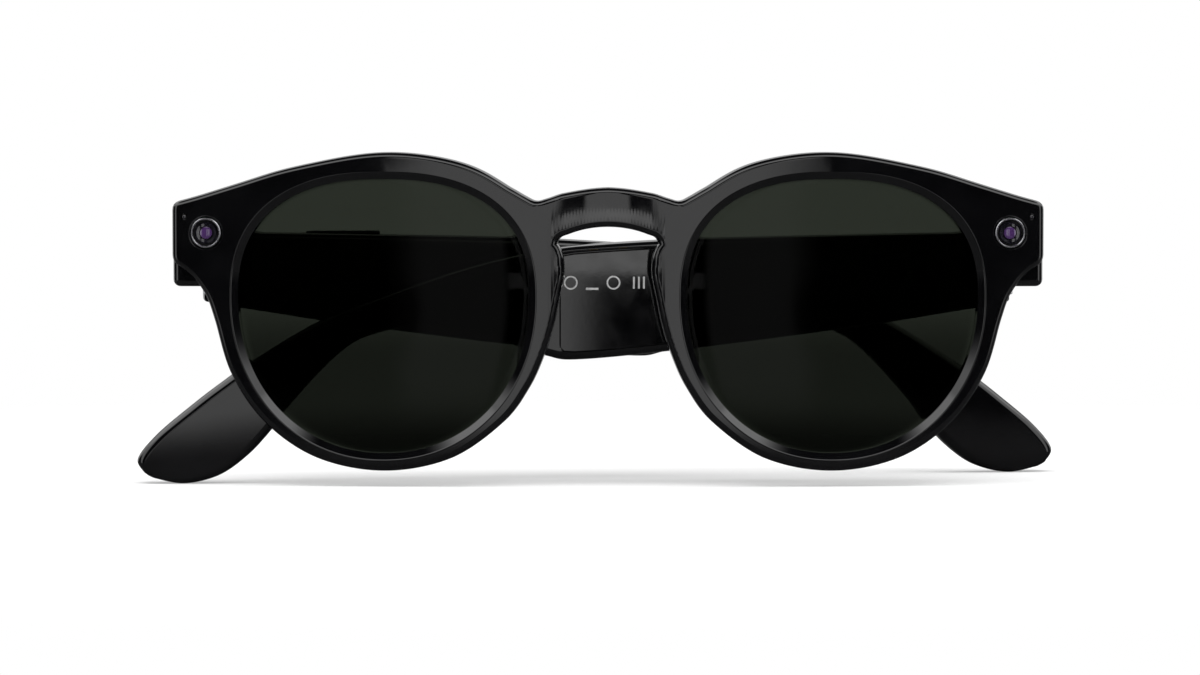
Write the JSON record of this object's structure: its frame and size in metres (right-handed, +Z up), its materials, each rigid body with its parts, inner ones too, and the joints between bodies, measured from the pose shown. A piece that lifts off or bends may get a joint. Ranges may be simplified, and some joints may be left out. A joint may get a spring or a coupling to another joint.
{
  "type": "smart glasses",
  "caption": "Round-lens smart glasses in black acetate with camera modules in the end pieces and folded, hinged electronic temples.",
  "frame": {"origin": "under the middle of the folded glasses' box, on the surface that they stand on", "axes": "+X towards the wearer's left, +Y towards the wearer, +Z up; the front faces -Y"},
  "size_m": [0.1484, 0.0396, 0.0528],
  "materials": {
    "acetate": "polished jet black acetate",
    "tinted_lens": "dark grey-green tinted lens, polished",
    "steel": "fine brushed stainless steel",
    "dark_metal": "black coated metal, satin",
    "camera_glass": "coated optical glass, near black with a purple cast",
    "black_plastic": "matt black moulding",
    "circuit_board": "green solder mask",
    "battery_foil": "dull pouch foil",
    "gold": "gold plate",
    "touch_film": "amber polyimide film"
  },
  "bodies": {
    "front": {"front_frame": "acetate", "charge_contact_left": "gold", "lens_left": "tinted_lens", "camera_ring_left": "steel", "camera_glass_left": "camera_glass", "camera_barrel_left": "black_plastic", "camera_board_left": "circuit_board", "status_window_left": "camera_glass", "end_cover_left": "black_plastic", "hinge_front_leaf_left": "steel", "hinge_screw_left": "steel", "charge_contact_right": "gold", "lens_right": "tinted_lens", "camera_ring_right": "steel", "camera_glass_right": "camera_glass", "camera_barrel_right": "black_plastic", "camera_board_right": "circuit_board", "status_window_right": "camera_glass", "end_cover_right": "black_plastic", "hinge_front_leaf_right": "steel", "hinge_screw_right": "steel"},
    "left_temple": {"temple_shell_left": "acetate", "temple_cover_left": "acetate", "hinge_temple_leaf_left": "steel", "battery_left": "battery_foil", "speaker_left": "black_plastic", "speaker_grille_left": "dark_metal", "microphone_left": "steel", "core_wire_left": "steel", "power_switch": "steel"},
    "right_temple": {"temple_shell_right": "acetate", "temple_cover_right": "acetate", "hinge_temple_leaf_right": "steel", "battery_right": "battery_foil", "speaker_right": "black_plastic", "speaker_grille_right": "dark_metal", "microphone_right": "steel", "core_wire_right": "steel", "main_board": "circuit_board", "touch_film": "touch_film", "capture_switch": "steel"},
    "capture_button": {"capture_button": "dark_metal"},
    "power_slider": {"power_slider": "dark_metal"}
  },
  "joints": [
    {"name": "right_temple_hinge", "type": "hinge", "parent": "front", "child": "right_temple", "pos_m": [-0.06221, -0.00537, 0.03389], "axis": [0, 0, 1], "range_deg": [0, 81]},
    {"name": "left_temple_hinge", "type": "hinge", "parent": "front", "child": "left_temple", "pos_m": [0.06379, -0.00537, 0.03389], "axis": [0, 0, -1], "range_deg": [0, 0.7]},
    {"name": "capture_button_press", "type": "slide", "parent": "right_temple", "child": "capture_button", "axis": [0, 0, -1], "range_m": [0, 0.0004], "stiffness_N_per_m": 1500, "springref_m": -0.0003},
    {"name": "power_slider_travel", "type": "slide", "parent": "left_temple", "child": "power_slider", "axis": [-0.9994, -0.0347, 0], "range_m": [0, 0.002]}
  ]
}
